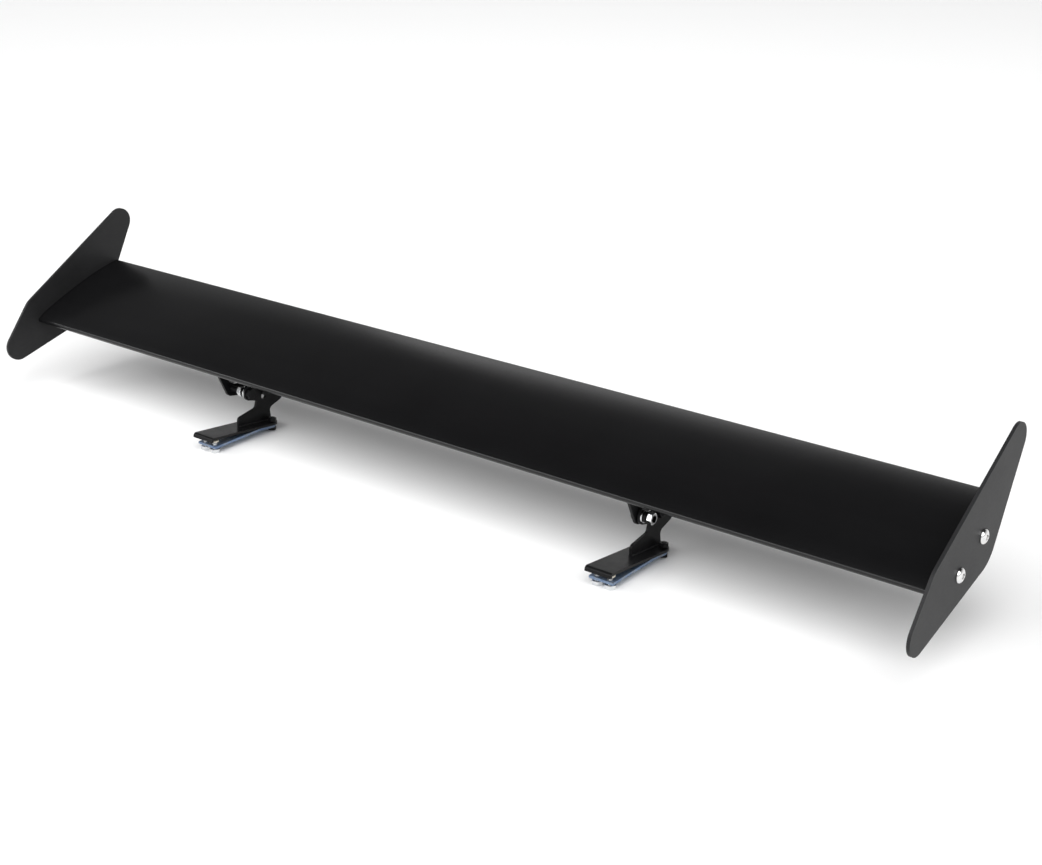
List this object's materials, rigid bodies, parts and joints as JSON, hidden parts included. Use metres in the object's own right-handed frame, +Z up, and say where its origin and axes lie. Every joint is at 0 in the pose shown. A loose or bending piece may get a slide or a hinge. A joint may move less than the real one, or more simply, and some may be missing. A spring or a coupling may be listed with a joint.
{
  "type": "racing rear wing",
  "caption": "Bolt-on rear wing: hollow extruded blade between two flat end plates, on tilting clamp legs that slide along slots under the blade.",
  "frame": {"origin": "on the ground under the middle of the wing's bounding box", "axes": "+X along the span towards the right end plate, +Y towards the rear edge, +Z up"},
  "size_m": [1.111, 0.1852, 0.1817],
  "materials": {
    "anodised_black": "black anodised extrusion, satin",
    "plate_black": "black anodised sheet, fine grain, satin",
    "steel_black": "black coated steel, satin",
    "zinc_blue": "bluish zinc plated steel",
    "zinc_bright": "bright zinc plated steel",
    "nylon": "natural nylon"
  },
  "bodies": {
    "wing": {"wing_blade": "anodised_black", "end_plate_left": "plate_black", "plate_screw_left_front": "zinc_bright", "plate_screw_left_rear": "zinc_bright", "end_plate_right": "plate_black", "plate_screw_right_front": "zinc_bright", "plate_screw_right_rear": "zinc_bright"},
    "bracket_left": {"bracket_left": "steel_black", "slot_bolt_left_front": "zinc_bright", "slot_washer_left_front": "steel_black", "slot_nut_left_front": "steel_black", "slot_bolt_left_rear": "zinc_bright", "slot_washer_left_rear": "steel_black", "slot_nut_left_rear": "steel_black", "pivot_bolt_left": "steel_black", "pivot_washer_left": "zinc_bright", "pivot_spring_washer_left": "steel_black", "pivot_nut_left": "zinc_bright", "lock_bolt_left": "steel_black", "lock_washer_left": "steel_black", "lock_nut_left": "steel_black", "pivot_end_nut_left": "zinc_bright", "lock_end_nut_left": "zinc_bright"},
    "leg_left": {"leg_plate_left": "steel_black", "upper_jaw_left": "steel_black", "lower_jaw_left": "zinc_blue", "jaw_bolt_left_inner": "steel_black", "jaw_nut_left_inner": "steel_black", "jaw_bolt_left_outer": "steel_black", "jaw_nut_left_outer": "steel_black"},
    "foot_left_inner": {"screw_foot_left_inner": "nylon"},
    "screw_left_inner": {"set_screw_left_inner": "zinc_bright"},
    "foot_left_outer": {"screw_foot_left_outer": "nylon"},
    "screw_left_outer": {"set_screw_left_outer": "zinc_bright"},
    "bracket_right": {"bracket_right": "steel_black", "slot_bolt_right_front": "zinc_bright", "slot_washer_right_front": "steel_black", "slot_nut_right_front": "steel_black", "slot_bolt_right_rear": "zinc_bright", "slot_washer_right_rear": "steel_black", "slot_nut_right_rear": "steel_black", "pivot_bolt_right": "steel_black", "pivot_washer_right": "zinc_bright", "pivot_spring_washer_right": "steel_black", "pivot_nut_right": "zinc_bright", "lock_bolt_right": "steel_black", "lock_washer_right": "steel_black", "lock_nut_right": "steel_black"},
    "leg_right": {"leg_plate_right": "steel_black", "upper_jaw_right": "steel_black", "lower_jaw_right": "zinc_blue", "jaw_bolt_right_inner": "steel_black", "jaw_nut_right_inner": "steel_black", "jaw_bolt_right_outer": "steel_black", "jaw_nut_right_outer": "steel_black"},
    "foot_right_inner": {"screw_foot_right_inner": "nylon"},
    "screw_right_inner": {"set_screw_right_inner": "zinc_bright"},
    "foot_right_outer": {"screw_foot_right_outer": "nylon"},
    "screw_right_outer": {"set_screw_right_outer": "zinc_bright"}
  },
  "joints": [
    {"name": "bracket_slide_left", "type": "slide", "parent": "wing", "child": "bracket_left", "axis": [1, 0, 0], "range_m": [-0.25, 0.2]},
    {"name": "leg_tilt_left", "type": "hinge", "parent": "bracket_left", "child": "leg_left", "pos_m": [-0.2515, -0.00863, 0.04685], "axis": [1, 0, 0], "range_deg": [-15, 15]},
    {"name": "screw_travel_left_inner", "type": "slide", "parent": "leg_left", "child": "foot_left_inner", "axis": [0, 0, 1], "range_m": [-0.003, 0.0018]},
    {"name": "screw_turn_left_inner", "type": "hinge", "parent": "foot_left_inner", "child": "screw_left_inner", "pos_m": [-0.2447, -0.06508, 0.004], "axis": [0, 0, 1], "range_deg": [-1085, 653]},
    {"name": "screw_travel_left_outer", "type": "slide", "parent": "leg_left", "child": "foot_left_outer", "axis": [0, 0, 1], "range_m": [-0.003, 0.0018]},
    {"name": "screw_turn_left_outer", "type": "hinge", "parent": "foot_left_outer", "child": "screw_left_outer", "pos_m": [-0.2583, -0.06508, 0.004], "axis": [0, 0, 1], "range_deg": [-1085, 653]},
    {"name": "bracket_slide_right", "type": "slide", "parent": "wing", "child": "bracket_right", "axis": [1, 0, 0], "range_m": [-0.2, 0.25]},
    {"name": "leg_tilt_right", "type": "hinge", "parent": "bracket_right", "child": "leg_right", "pos_m": [0.2515, -0.00863, 0.04685], "axis": [1, 0, 0], "range_deg": [-15, 15]},
    {"name": "screw_travel_right_inner", "type": "slide", "parent": "leg_right", "child": "foot_right_inner", "axis": [0, 0, 1], "range_m": [-0.003, 0.0018]},
    {"name": "screw_turn_right_inner", "type": "hinge", "parent": "foot_right_inner", "child": "screw_right_inner", "pos_m": [0.2447, -0.06508, 0.004], "axis": [0, 0, 1], "range_deg": [-1085, 653]},
    {"name": "screw_travel_right_outer", "type": "slide", "parent": "leg_right", "child": "foot_right_outer", "axis": [0, 0, 1], "range_m": [-0.003, 0.0018]},
    {"name": "screw_turn_right_outer", "type": "hinge", "parent": "foot_right_outer", "child": "screw_right_outer", "pos_m": [0.2583, -0.06508, 0.004], "axis": [0, 0, 1], "range_deg": [-1085, 653]}
  ],
  "couplings": [
    {"joint": "screw_turn_left_inner", "follows": "screw_travel_left_inner", "rad_per_m": 6283.2},
    {"joint": "screw_turn_left_outer", "follows": "screw_travel_left_outer", "rad_per_m": 6283.2},
    {"joint": "screw_turn_right_inner", "follows": "screw_travel_right_inner", "rad_per_m": 6283.2},
    {"joint": "screw_turn_right_outer", "follows": "screw_travel_right_outer", "rad_per_m": 6283.2}
  ]
}
